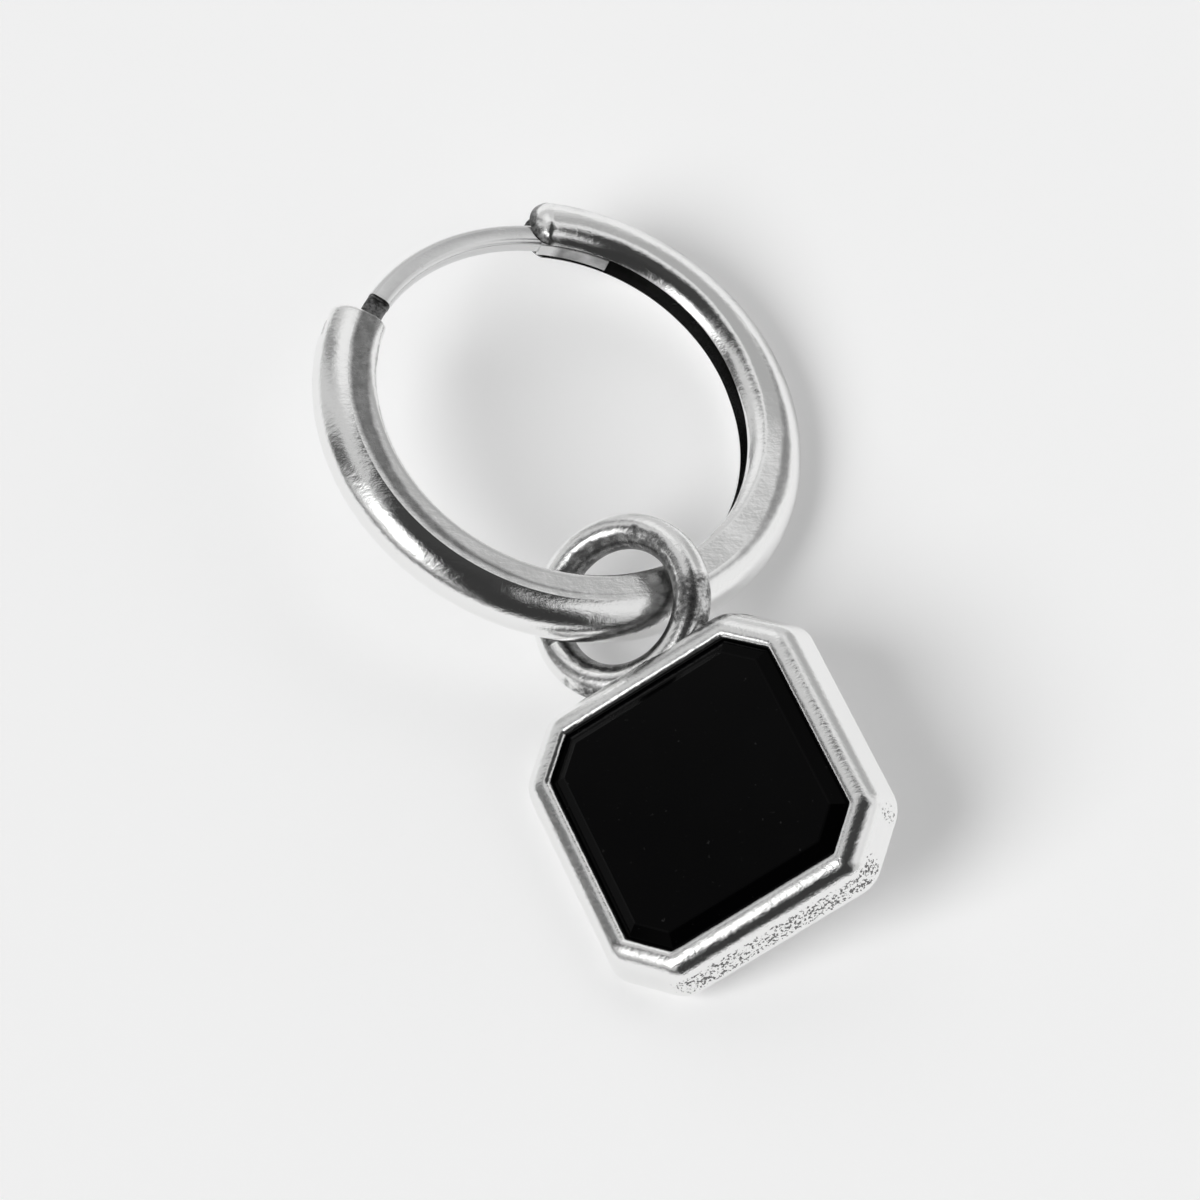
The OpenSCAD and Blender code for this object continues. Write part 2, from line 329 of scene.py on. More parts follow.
def tube_reach(hoop, phi, t):
    """Distance from the dome's centre to the tube's surface, in a direction across the tube."""
    if math.cos(phi) >= 0:
        return hoop.dome_r
    up = abs(math.atan2(math.sin(phi), math.cos(phi)))
    edge = Vector((hoop.flat_edge_r - hoop.flat_in - hoop.dome_out, hoop.flat_half - hoop.flat_edge_r))
    slope = math.atan2(edge.y, edge.x) - math.acos((hoop.dome_r - hoop.flat_edge_r) / edge.length)
    meets = edge + hoop.flat_edge_r * Vector((math.cos(slope), math.sin(slope)))
    if up < slope:
        reach = hoop.dome_r
    elif up < math.atan2(meets.y, meets.x):
        reach = hoop.dome_r / math.cos(up - slope)
    elif up < math.atan2(edge.y, edge.x - hoop.flat_edge_r):
        along = edge.x * math.cos(up) + edge.y * math.sin(up)
        reach = along + math.sqrt(max(along**2 - edge.length_squared + hoop.flat_edge_r**2, 0))
    else:
        reach = -(hoop.flat_in + hoop.dome_out) / math.cos(up)
    centre = hoop.taper * math.cos(t - hoop.taper_turn) - hoop.taper_in - hoop.dome_out
    along = centre * math.cos(up)
    rounded = along + math.sqrt(max(hoop.taper_r**2 - centre**2 + along**2, 0))
    return min(reach, rounded) if reach * math.cos(up) < centre else reach


def ring_angles(hoop):
    """Angle of each ring of the tube, closer together towards both ends."""
    rim_rings, tube_rings, ball_rings = 10, 300, 16
    start, sweep = hoop.front_end - 2 * math.pi, hoop.hinge_end - hoop.front_end + 2 * math.pi
    front_turn, ball_turn = hoop.end_round / hoop.middle_r, hoop.ball_r / (hoop.middle_r + hoop.dome_out)
    first, last = start + front_turn, start + sweep - ball_turn

    def eased(k, count):
        return 1 - math.cos(math.pi / 2 * k / count)

    front = [start + front_turn * eased(k, rim_rings) for k in range(rim_rings)]
    tube = [first + (last - first) * k / tube_rings for k in range(tube_rings + 1)]
    ball = [start + sweep - ball_turn * eased(k, ball_rings) for k in range(ball_rings)]
    return front + tube + ball[::-1]


class EARRING_OT_hoop(bpy.types.Operator):
    """Spins the hoop's tube, shapes its section along the way and cuts its channel, slot and groove"""

    bl_idname = "earring.hoop"
    bl_label = "Hoop"

    def execute(self, context):
        hoop = settings("hoop")
        angles = ring_angles(hoop)
        start, sweep, steps = angles[0], angles[-1] - angles[0], len(angles) - 1
        dome = hoop.middle_r + hoop.dome_out
        ball_angle = hoop.hinge_end - hoop.ball_r / dome
        pole_r = 0.00001
        bm = swept(standing_circle(hoop.dome_r, dome, segments=96), start, sweep, steps)
        for v in bm.verts:
            turned = (math.atan2(v.co.y, v.co.x) - start) % (2 * math.pi)
            ring = 0 if turned > sweep + DEGREE else round(turned / sweep * steps)
            t = angles[ring]
            phi = math.atan2(v.co.z, math.hypot(v.co.x, v.co.y) - dome)
            reach = tube_reach(hoop, phi, t)
            if t > ball_angle:
                beyond = math.sin(t - ball_angle) * dome
                reach = min(reach, math.sqrt(max(hoop.ball_r**2 - beyond**2, pole_r**2)))
            left = max(0.0, hoop.end_round - (t - start) * hoop.middle_r)
            reach -= hoop.end_round - math.sqrt(hoop.end_round**2 - left**2)
            out = dome + reach * math.cos(phi)
            v.co = Vector((out * math.cos(t), out * math.sin(t), reach * math.sin(phi)))
        piece = make_object("hoop_polished", bm)
        before_end = 2 * DEGREE
        groove_turn = before_end + hoop.catch_len / hoop.middle_r
        cuts = (
            strip(hoop.channel_start, hoop.channel_turn, CUT_REACH, hoop.channel_floor, hoop.slot_half),
            strip(hoop.pin_angle - hoop.slot_before, hoop.slot_turn, CUT_REACH, CUT_REACH, hoop.slot_half),
            strip(start - before_end, groove_turn, hoop.catch_wall, CUT_REACH, hoop.slot_half),
        )
        for bm in cuts:
            combine(piece, make_object("hoop_cut", bm), "DIFFERENCE")
        piece.data.transform(lay_hoop())
        smooth_by_angle(piece, degrees=32)
        finish_piece(piece, hoop_material(), MAIN_BODY, "hoop")
        return {"FINISHED"}


class EARRING_OT_post(bpy.types.Operator):
    """Joins the ear post's bar, tail, eye, notch and tip, and rounds their edges"""

    bl_idname = "earring.post"
    bl_label = "Ear post"

    def execute(self, context):
        hoop, post = settings("hoop"), settings("post")
        notch_end = hoop.front_end - post.tip_show / hoop.middle_r
        notch_start = notch_end - post.notch_len / hoop.middle_r
        notch_turn = notch_end - notch_start + 2 * DEGREE
        tail_turn = hoop.pin_angle - post.tail_end + 4 * DEGREE
        tip_turn = (post.tip_show + post.tip_len) / hoop.middle_r
        notch_in, notch_out = post.bar_in - post.notch_step, post.bar_out - post.notch_step
        bar_turn = notch_start - hoop.pin_angle
        bar = strip(hoop.pin_angle, bar_turn, post.bar_in, post.bar_out, post.half, post.edge)
        piece = make_object("ear_post_polished", bar)
        parts = (
            cylinder_at_pin(post.eye_r, 2 * post.half),
            strip(post.tail_end, tail_turn, post.tail_in, post.tail_out, post.half, post.edge / 2),
            strip(notch_start - DEGREE, notch_turn, notch_in, notch_out, post.notch_half, post.edge / 2),
            strip(notch_end, tip_turn, post.tip_in, post.bar_out, post.half, post.edge),
        )
        for bm in parts:
            combine(piece, make_object("post_part", bm), "UNION")
        combine(piece, make_object("pin_hole", cylinder_at_pin(post.pin_hole_r, 2 * CUT_REACH)), "DIFFERENCE")
        piece.data.transform(lay_hoop())
        smooth_by_angle(piece, degrees=28)
        finish_piece(piece, post_material(), POST_BODY, "ear_post")
        return {"FINISHED"}


class EARRING_OT_pin(bpy.types.Operator):
    """Gives the hinge pin its turned finish"""

    bl_idname = "earring.pin"
    bl_label = "Hinge pin"

    def execute(self, context):
        bpy.data.objects["hinge_pin"].material_slots[0].material = pin_material()
        return {"FINISHED"}


def octagon_corners(half, leg):
    """Corners of a square with cut corners, by half its width and the leg of each cut."""
    side = half - leg
    right = [Vector((half, -side, 0)), Vector((half, side, 0))]
    return [Matrix.Rotation(k * math.pi / 2, 3, "Z") @ corner for k in range(4) for corner in right]


def octagon_stack(drop, rows, corner_r, corner_share):
    """A closed solid through rounded eight-sided outlines, each row a half width and a height."""
    bm = bmesh.new()
    segments = 8
    sharpest = 0.00003
    narrowing = 2 - math.sqrt(2)

    def arcs(half):
        r = max(corner_r + corner_share * (half - drop.stone_half), sharpest)
        leg = drop.corner_leg + (half - drop.stone_half) * narrowing
        return r, octagon_corners(half - r, leg - r * narrowing)

    def place(verts, old, half, height):
        r, centres = arcs(half)
        step = math.pi / 4 / segments
        for v in verts:
            flat = Vector((v.co.x, v.co.y, 0))
            k = min(range(8), key=lambda i: (old[i] - flat).length)
            out = flat - old[k]
            around = round(math.atan2(out.y, out.x) / step) * step
            v.co = centres[k] + Vector((r * math.cos(around), r * math.sin(around), height))
        return centres

    half, height = rows[0]
    r, centres = arcs(half)
    leg = drop.corner_leg + (half - drop.stone_half) * narrowing
    corners = [bm.verts.new(c) for c in octagon_corners(half, leg)]
    bm.faces.new(corners)
    round_corners(bm, corners, r * math.tan(math.pi / 8), segments)
    centres = place(bm.verts, centres, half, height)
    edges = bm.edges[:]
    for half, height in rows[1:]:
        grown = bmesh.ops.extrude_edge_only(bm, edges=edges)["geom"]
        verts = [g for g in grown if isinstance(g, bmesh.types.BMVert)]
        edges = [g for g in grown if isinstance(g, bmesh.types.BMEdge) and g.is_boundary]
        centres = place(verts, centres, half, height)
    bmesh.ops.holes_fill(bm, edges=edges, sides=0)
    bmesh.ops.recalc_face_normals(bm, faces=bm.faces)
    return bm


def crest_arc(drop, r, start, end, steps):
    """Rows along an arc that is level at the bead's crest, from one angle to another."""
    crest = drop.stone_half + drop.lip_width
    angles = [start + (end - start) * k / steps for k in range(steps + 1)]
    return [(crest + r * math.sin(a), drop.crest_up + r * (math.cos(a) - 1)) for a in angles]


class EARRING_OT_setting(bpy.types.Operator):
    """Steps the bezel up in bands from its back to its bead, and solders the loop to it"""

    bl_idname = "earring.setting"
    bl_label = "Setting and loop"

    def execute(self, context):
        drop = settings("drop")
        seat = drop.stone_half + drop.seat_out
        back = drop.wall_bottom + (drop.foot_half - drop.back_half) * math.tan(drop.tilt)
        lip_turn = math.asin(drop.lip_width / drop.lip_r)
        rows = [(drop.back_half, -back), (drop.foot_half, -drop.wall_bottom)]
        rows += crest_arc(drop, drop.bead_r, drop.bead_turn, 0, steps=20)
        rows += crest_arc(drop, drop.lip_r, 0, -lip_turn, steps=10)[1:]
        rows += [(seat, -drop.seat_down), (seat, -drop.stone_base - drop.seat_gap)]
        bezel = octagon_stack(drop, rows, drop.corner_r, corner_share=0.9)
        piece = make_object("setting_polished", bezel)
        loop = make_object("loop", wire_ring(drop.loop_r, drop.wire_r))
        loop.data.transform(loop_frame(drop))
        bm = bmesh.new()
        bmesh.ops.create_cube(bm, size=2 * (drop.stone_half + drop.lip_width + drop.loop_end))
        combine(loop, make_object("loop_end", bm), "DIFFERENCE")
        combine(piece, loop, "UNION")
        piece.data.transform(lay_drop())
        smooth_by_angle(piece, degrees=38)
        finish_piece(piece, setting_material(), MAIN_BODY, "setting")
        return {"FINISHED"}


class EARRING_OT_stone(bpy.types.Operator):
    """Steps the stone up from its base over its girdle to its table"""

    bl_idname = "earring.stone"
    bl_label = "Stone"

    def execute(self, context):
        drop = settings("drop")
        girdle = drop.stone_half + drop.seat_out - drop.seat_gap
        table = drop.stone_half - drop.table_band
        rows = [
            (girdle - drop.base_edge, -drop.stone_base),
            (girdle, drop.base_edge - drop.stone_base),
            (girdle, -drop.girdle_down),
            (table, drop.table_up),
        ]
        bm = octagon_stack(drop, rows, drop.stone_corner_r, corner_share=0)
        piece = make_object("stone_polished", bm)
        piece.data.transform(lay_drop())
        smooth_by_angle(piece, degrees=12)
        finish_piece(piece, stone_material(), MAIN_BODY, "stone")
        return {"FINISHED"}


def group_with(name, vectors, values, results):
    """A new shader node group with named sockets, and the sockets as its own nodes see them."""
    group = bpy.data.node_groups.new(name, "ShaderNodeTree")
    for label in vectors + values:
        kind = "NodeSocketVector" if label in vectors else "NodeSocketFloat"
        group.interface.new_socket(label, in_out="INPUT", socket_type=kind)
    for label in results:
        group.interface.new_socket(label, in_out="OUTPUT", socket_type="NodeSocketFloat")
    return group, group.nodes.new("NodeGroupInput").outputs, group.nodes.new("NodeGroupOutput").inputs


def set_inputs(node, **values):
    """Gives a node's inputs their values; an underscore in a name stands for a space."""
    for name, value in values.items():
        node.inputs[name.replace("_", " ")].default_value = value


def place_group(tree, group, **values):
    """A node group placed in a material or world with its own values."""
    node = tree.nodes.new("ShaderNodeGroup")
    node.node_tree = group
    set_inputs(node, **values)
    return node


def math_node(tree, operation, first, second=None, third=None):
    """A Math node fed by sockets or numbers; returns its output."""
    node = tree.nodes.new("ShaderNodeMath")
    node.operation = operation
    for socket, value in zip(node.inputs, (first, second, third)):
        if value is None:
            continue
        if isinstance(value, (int, float)):
            socket.default_value = value
        else:
            tree.links.new(value, socket)
    return node.outputs[0]


def scaled(tree, value, factor, offset):
    return math_node(tree, "MULTIPLY_ADD", value, factor, offset)


def step_node(tree, value, low, high):
    """Rises softly from 0 at one value to 1 at another, which may be the smaller one."""
    node = tree.nodes.new("ShaderNodeMapRange")
    node.interpolation_type = "SMOOTHSTEP"
    tree.links.new(value, node.inputs["Value"])
    set_inputs(node, From_Min=min(low, high), From_Max=max(low, high))
    if low > high:
        set_inputs(node, To_Min=1.0, To_Max=0.0)
    return node.outputs[0]


def noise_node(tree, position, size, detail, roughness=0.5, stretch=None, turned=(0, 0, 0)):
    """Noise with features of a size in metres, stretched and turned where asked."""
    if stretch:
        mapping = tree.nodes.new("ShaderNodeMapping")
        set_inputs(mapping, Scale=stretch, Rotation=turned)
        tree.links.new(position, mapping.inputs["Vector"])
        position = mapping.outputs[0]
    node = tree.nodes.new("ShaderNodeTexNoise")
    set_inputs(node, Scale=1 / size, Detail=detail, Roughness=roughness)
    tree.links.new(position, node.inputs["Vector"])
    return node.outputs["Fac"]


def local_position(tree, place):
    """Object coordinates carried into a piece's own frame: the position and its X, Y and Z."""
    where = tree.nodes.new("ShaderNodeTexCoord")
    mapping = tree.nodes.new("ShaderNodeMapping")
    mapping.vector_type = "TEXTURE"
    set_inputs(mapping, Location=place.to_translation(), Rotation=place.to_euler("XYZ"))
    tree.links.new(where.outputs["Object"], mapping.inputs["Vector"])
    split = tree.nodes.new("ShaderNodeSeparateXYZ")
    tree.links.new(mapping.outputs[0], split.inputs[0])
    return mapping.outputs[0], split.outputs[0], split.outputs[1], split.outputs[2]


def polish_group():
    """Hand polish: slow waves, fine scratches two ways, and the roughness that goes with them."""
    group = bpy.data.node_groups.get("polish")
    if group:
        return group
    values = ("Waves", "Scratches", "Smooth", "Scratched")
    group, given, result = group_with("polish", ("Position",), values, ("Height", "Roughness"))
    position = given["Position"]
    slow = noise_node(group, position, size=0.0022, detail=1.0)
    quick = noise_node(group, position, size=0.0007, detail=1.0)
    waves = scaled(group, quick, 0.22, slow)
    waves = math_node(group, "MULTIPLY", waves, given["Waves"])
    fine = noise_node(
        group, position, size=0.00016, detail=5.0, roughness=0.68,
        stretch=(1, 1, 0.3), turned=(0.5, 0.3, 0.2),
    )
    cross = noise_node(
        group, position, size=0.00013, detail=5.0, roughness=0.68,
        stretch=(0.25, 1, 1), turned=(0.1, 0.6, 0.9),
    )
    both = math_node(group, "ADD", fine, cross)
    scratches = math_node(group, "MULTIPLY", both, given["Scratches"])
    group.links.new(math_node(group, "ADD", waves, scratches), result["Height"])
    worn_places = noise_node(group, position, size=0.0015, detail=3.0, roughness=0.6)
    patches = step_node(group, worn_places, 0.42, 0.66)
    streaks = step_node(group, cross, 0.50, 0.68)
    patchy = scaled(group, patches, 0.5, math_node(group, "MULTIPLY", streaks, 0.5))
    span = math_node(group, "SUBTRACT", given["Scratched"], given["Smooth"])
    roughness = scaled(group, patchy, span, given["Smooth"])
    group.links.new(roughness, result["Roughness"])
    return group


def pits_group():
    """Casting pits: irregular dark spots where an area's mask allows, and their depth."""
    group = bpy.data.node_groups.get("pits")
    if group:
        return group
    group, given, result = group_with("pits", ("Position",), ("Area", "Size"), ("Mask", "Depth"))
    scale = math_node(group, "DIVIDE", 1.0, given["Size"])
    blots = group.nodes.new("ShaderNodeTexNoise")
    set_inputs(blots, Detail=3.0, Roughness=0.62)
    group.links.new(given["Position"], blots.inputs["Vector"])
    group.links.new(scale, blots.inputs["Scale"])
    wide = scaled(group, given["Area"], 0.132, blots.outputs["Fac"])
    deep = step_node(group, wide, 0.655, 0.70)
    mask = math_node(group, "MULTIPLY", deep, step_node(group, given["Area"], 0.05, 0.5))
    group.links.new(math_node(group, "MULTIPLY", mask, 0.9), result["Mask"])
    group.links.new(math_node(group, "MULTIPLY", mask, -1.0), result["Depth"])
    return group


def new_material(name):
    material = bpy.data.materials.new(name)
    material.use_nodes = True
    return material, material.node_tree, material.node_tree.nodes["Principled BSDF"]


def mix_colour(tree, mask, first, second):
    node = tree.nodes.new("ShaderNodeMix")
    node.data_type = "RGBA"
    node.inputs[6].default_value = (*first, 1)
    node.inputs[7].default_value = (*second, 1)
    tree.links.new(mask, node.inputs[0])
    return node.outputs[2]


def bump_node(tree, height, distance):
    node = tree.nodes.new("ShaderNodeBump")
    set_inputs(node, Distance=distance)
    tree.links.new(height, node.inputs["Height"])
    return node.outputs[0]


def finish_metal(tree, shader, position, colours, shade, finish, pits=None, shape=None):
    """Joins polish, pits and a darkening mask of tarnish, painted shade and painted dark reflections in a
    metal's shader; finish holds the polish group's values.
    """
    pit_depth = 0.00001
    polish = place_group(tree, polish_group(), **finish)
    tree.links.new(position, polish.inputs["Position"])
    dark = math_node(tree, "MAXIMUM", shade, pits[0]) if pits else shade
    tree.links.new(mix_colour(tree, dark, colours[0], colours[1]), shader.inputs["Base Color"])
    rough = scaled(tree, dark, 0.28, polish.outputs["Roughness"])
    tree.links.new(rough, shader.inputs["Roughness"])
    height = polish.outputs["Height"]
    if pits:
        height = scaled(tree, pits[1], pit_depth, height)
    if shape:
        height = math_node(tree, "ADD", height, shape)
    tree.links.new(bump_node(tree, height, distance=1.0), shader.inputs["Normal"])
    set_inputs(shader, Metallic=1.0)


def tarnish_group():
    """Darkening used for tarnish and for painted shade: an area with a ragged edge, mottled inside."""
    group = bpy.data.node_groups.get("tarnish")
    if group:
        return group
    values = ("Area", "Strength", "Evenness")
    group, given, result = group_with("tarnish", ("Position",), values, ("Mask",))
    position = given["Position"]
    edge_noise = noise_node(group, position, size=0.00035, detail=5.0, roughness=0.65)
    wander = scaled(group, edge_noise, 1.6, -0.8)
    area = step_node(group, math_node(group, "ADD", given["Area"], wander), 0.25, 0.75)
    blots = noise_node(group, position, size=0.00028, detail=6.0, roughness=0.75)
    blots = step_node(group, blots, 0.36, 0.60)
    left = math_node(group, "SUBTRACT", 1.0, given["Evenness"])
    mottle = scaled(group, blots, left, given["Evenness"])
    group.links.new(product(group, area, mottle, given["Strength"]), result["Mask"])
    return group


def tarnish(tree, position, area, strength, evenness):
    node = place_group(tree, tarnish_group(), Strength=strength, Evenness=evenness)
    tree.links.new(position, node.inputs["Position"])
    tree.links.new(area, node.inputs["Area"])
    return node.outputs["Mask"]


def product(tree, *values):
    result = values[0]
    for value in values[1:]:
        result = math_node(tree, "MULTIPLY", result, value)
    return result


def radius_of(tree, x, y):
    squares = scaled(tree, x, x, math_node(tree, "MULTIPLY", y, y))
    return math_node(tree, "SQRT", squares)


def crown_height(tree, hoop, radius, angle):
    """Height that gives the dome a ridge near the catch and leans it outward on the far side."""
    reach = 0.0006
    across = math_node(tree, "SUBTRACT", radius, hoop.middle_r + hoop.dome_out)
    across = math_node(tree, "MINIMUM", math_node(tree, "MAXIMUM", across, 0.0), reach)
    height = scaled(tree, product(tree, across, across), -0.5 / reach, across)
    ridge = product(tree, height, step_node(tree, angle, 2.9, 1.9), -hoop.crown)
    off = math_node(tree, "SUBTRACT", radius, hoop.middle_r)
    lean = product(tree, off, step_node(tree, angle, 2.8, 3.4), -hoop.lean)
    return math_node(tree, "ADD", ridge, lean)


def dark_reflection_streak(tree, position, radius, middle, half, strength):
    """A painted dark reflection streak along the tube at a radius, with a wandering edge and a mottled
    colour.
    """
    edge_noise = noise_node(tree, position, size=0.0005, detail=4.0, roughness=0.6)
    wander = scaled(tree, edge_noise, 0.00016, -0.00008)
    off = math_node(tree, "ABSOLUTE", math_node(tree, "SUBTRACT", radius, middle))
    inside = math_node(tree, "ADD", math_node(tree, "SUBTRACT", half, off), wander)
    blots = noise_node(tree, position, size=0.00035, detail=5.0, roughness=0.7)
    mottle = scaled(tree, blots, 0.9, 0.55)
    return product(tree, step_node(tree, inside, -0.00005, 0.00009), mottle, strength)


def channel_shade_mask(tree, hoop, radius, from_middle):
    """Painted shade on the walls and floors of the channel and the slots, darker away from the tube's flat
    face.
    """
    dome, face = hoop.middle_r + hoop.dome_out, hoop.middle_r - hoop.flat_in
    margin = 0.00001
    depth = step_node(tree, radius, face + 0.00006, face + 0.00045)
    inside = step_node(tree, from_middle, hoop.slot_half + margin, hoop.slot_half - margin)
    return product(tree, depth, inside, step_node(tree, radius, dome + 0.0005, dome + 0.0002))


def hoop_material():
    """Polished silver with painted dark reflection streaks along the tube, painted shade inside the channel
    and the slots, and tarnish with painted shade round the hinge slot.
    """
    colours, hoop = settings("finish"), settings("hoop")
    material, tree, shader = new_material("hoop_silver")
    position, x, y, z = local_position(tree, lay_hoop())
    dome = hoop.middle_r + hoop.dome_out
    radius = radius_of(tree, x, y)
    angle = math_node(tree, "ARCTAN2", y, x)
    past_catch = math_node(tree, "LESS_THAN", angle, -0.6)
    angle = scaled(tree, past_catch, 2 * math.pi, angle)
    from_middle = math_node(tree, "ABSOLUTE", z)
    # Painted shade in the channel and the slots
    painted_dark = channel_shade_mask(tree, hoop, radius, from_middle)
    # Tarnish with painted shade round the hinge slot, on the middle of the ball end
    ball = step_node(tree, angle, hoop.hinge_end - 0.13, hoop.hinge_end - 0.07)
    at_hinge = product(tree, ball, step_node(tree, from_middle, 0.00062, 0.00036))
    shade = math_node(tree, "MAXIMUM", painted_dark, tarnish(tree, position, at_hinge, 1.0, 0.7))
    # Painted dark reflection streaks: one along the dome towards the catch, one on the far side
    middle = scaled(tree, angle, 0.00009, dome - 0.00031)
    half = scaled(tree, angle, -0.00015, 0.000245)
    near_catch = dark_reflection_streak(tree, position, radius, middle, half, 0.70)
    off_middle = math_node(tree, "ABSOLUTE", math_node(tree, "SUBTRACT", angle, 2.8))
    half = scaled(tree, off_middle, -0.0002, 0.00017)
    far_side = dark_reflection_streak(tree, position, radius, dome + 0.00012, half, 0.50)
    shade = math_node(tree, "MAXIMUM", shade, math_node(tree, "MAXIMUM", near_catch, far_side))
    finish = {"Smooth": 0.06, "Scratched": 0.15, "Waves": 0.000060, "Scratches": 0.0000075}
    crown = crown_height(tree, hoop, radius, angle)
    finish_metal(tree, shader, position, (colours.silver, colours.painted_dark), shade, finish, shape=crown)
    return material


def pitted_wall(tree, x, y, z):
    """The lower wall between its foot and its top, but for a clean stretch near its right corner."""
    foot, top = (-0.00092, -0.00080), (-0.00022, -0.00036)
    lower_side, left_end = (-0.0024, -0.0030), (-0.0031, -0.0024)
    clean_at, clean_half = 0.0034, (0.00018, 0.0005)
    from_clean = math_node(tree, "ABSOLUTE", math_node(tree, "SUBTRACT", x, clean_at))
    limits = ((z, foot), (z, top), (y, lower_side), (x, left_end), (from_clean, clean_half))
    return product(tree, *[step_node(tree, value, *limit) for value, limit in limits])


def loop_tarnish(tree, drop, position, y, z):
    """Even tarnish inside the loop, and blotches on its right and at its solder joint."""
    _, loop_x, loop_y, _ = local_position(tree, lay_drop() @ loop_frame(drop))
    around = math_node(tree, "ARCTAN2", loop_y, loop_x)
    left_side = step_node(tree, around, 1.95, 2.35)
    limit = scaled(tree, left_side, 0.00026, drop.loop_r - 0.00018)
    ring = radius_of(tree, loop_x, loop_y)
    inner = step_node(tree, math_node(tree, "SUBTRACT", ring, limit), 0.00012, -0.00012)
    lower_right = product(tree, step_node(tree, around, -1.0, -0.70), step_node(tree, around, -0.10, -0.40))
    upper_right = product(
        tree,
        step_node(tree, around, 0.0, 0.35),
        step_node(tree, around, 1.15, 0.75),
        step_node(tree, math_node(tree, "SUBTRACT", ring, drop.loop_r), 0.00016, -0.00004),
    )
    patches = math_node(tree, "MAXIMUM", lower_right, product(tree, upper_right, 0.75))
    above = step_node(tree, y, 0.00355, 0.00375)
    near_joint = product(tree, step_node(tree, y, 0.0052, 0.0040), step_node(tree, z, -0.0001, -0.0003), 0.8)
    patches = math_node(tree, "MAXIMUM", patches, near_joint)
    even = tarnish(tree, position, product(tree, inner, above), 0.95, 0.75)
    blotched = tarnish(tree, position, product(tree, patches, above), 0.95, 0.30)
    return math_node(tree, "MAXIMUM", even, blotched)


def setting_material():
    """Polished silver with pits on the wall, and tarnish in the loop and at its solder joint."""
    colours, drop = settings("finish"), settings("drop")
    material, tree, shader = new_material("setting_silver")
    position, x, y, z = local_position(tree, lay_drop())
    pits = place_group(tree, pits_group(), Size=0.00008)
    tree.links.new(position, pits.inputs["Position"])
    tree.links.new(pitted_wall(tree, x, y, z), pits.inputs["Area"])
    shade = loop_tarnish(tree, drop, position, y, z)
    finish = {"Smooth": 0.05, "Scratched": 0.12, "Waves": 0.000030, "Scratches": 0.0000090}
    pitted = (pits.outputs["Mask"], pits.outputs["Depth"])
    finish_metal(tree, shader, position, (colours.silver, colours.shade), shade, finish, pits=pitted)
    return material


def post_material():
    """Satin wire, with painted shade in the catch notch, and darker on the tail."""
    colours, hoop, post = settings("finish"), settings("hoop"), settings("post")
    material, tree, shader = new_material("post_silver")
    position, x, y, _ = local_position(tree, lay_hoop())
    angle = math_node(tree, "ARCTAN2", y, x)
    end = hoop.front_end - 2 * math.pi
    notch_start = end - (post.tip_show + post.notch_len) / hoop.middle_r
    # Painted shade in the catch notch
    notch = step_node(tree, angle, notch_start - 0.01, notch_start + 0.01)
    # Darker on the tail, mottled by noise
    tail = product(tree, step_node(tree, angle, -1.66, -1.72), step_node(tree, angle, -2.2, -2.0))
    patchy = product(tree, tail, noise_node(tree, position, size=0.0006, detail=4.0, roughness=0.6))
    shade = math_node(tree, "MAXIMUM", tarnish(tree, position, notch, 1.0, 0.75), patchy)
    finish = {"Smooth": 0.16, "Scratched": 0.30, "Waves": 0.000008, "Scratches": 0.0000016}
    finish_metal(tree, shader, position, (colours.post, colours.painted_dark), shade, finish)
    return material


def pin_material():
    """Turned pin, darker round its edge."""
    colours, hoop, post = settings("finish"), settings("hoop"), settings("post")
    material, tree, shader = new_material("pin_silver")
    position, x, y, _ = local_position(tree, lay_hoop() @ pin_frame(hoop, post))
    edge = step_node(tree, radius_of(tree, x, y), post.pin_hole_r - 0.00009, post.pin_hole_r)
    shade = tarnish(tree, position, edge, 0.8, 0.5)
    finish = {"Smooth": 0.10, "Scratched": 0.24, "Waves": 0.000006, "Scratches": 0.0000030}
    finish_metal(tree, shader, position, (colours.silver, colours.shade), shade, finish)
    return material


def stone_material():
    """Black polished stone with faint dust, and a painted sheen that makes its table a little paler."""
    colours, table_up = settings("finish"), settings("drop").table_up
    material, tree, shader = new_material("black_stone")
    position, _, _, z = local_position(tree, lay_drop())
    dust_and_sheen = noise_node(tree, position, size=0.00016, detail=2.0, roughness=0.6)
    dust_and_sheen = step_node(tree, dust_and_sheen, 0.70, 0.80)
    # Painted sheen: the table is mixed a little towards the dust colour, so it shows paler
    on_table = step_node(tree, z, table_up - 0.00004, table_up - 0.00001)
    dust_and_sheen = scaled(tree, on_table, 0.12, product(tree, dust_and_sheen, 0.85))
    tree.links.new(mix_colour(tree, dust_and_sheen, colours.stone, colours.dust_and_sheen), shader.inputs["Base Color"])
    veil = noise_node(tree, position, size=0.0012, detail=3.0, roughness=0.6)
    veil = step_node(tree, veil, 0.35, 0.75)
    tree.links.new(scaled(tree, veil, 0.05, 0.05), shader.inputs["Roughness"])
    swell = noise_node(tree, position, size=0.0025, detail=1.0)
    tree.links.new(bump_node(tree, swell, distance=0.000006), shader.inputs["Normal"])
    set_inputs(shader, IOR=1.54, Specular_IOR_Level=0.035)
    return material


def floor_material():
    """Matt pale paper with a faint grain."""
    colours = settings("finish")
    material, tree, shader = new_material("pale_paper")
    where = tree.nodes.new("ShaderNodeTexCoord")
    grain = noise_node(tree, where.outputs["Object"], size=0.0006, detail=3.0, roughness=0.6)
    tree.links.new(bump_node(tree, grain, distance=0.000004), shader.inputs["Normal"])
    set_inputs(shader, Base_Color=(*colours.floor, 1), Roughness=0.9, Specular_IOR_Level=0.0)
    set_inputs(shader, Emission_Color=(1, 1, 1, 1), Emission_Strength=0.14)
    return material


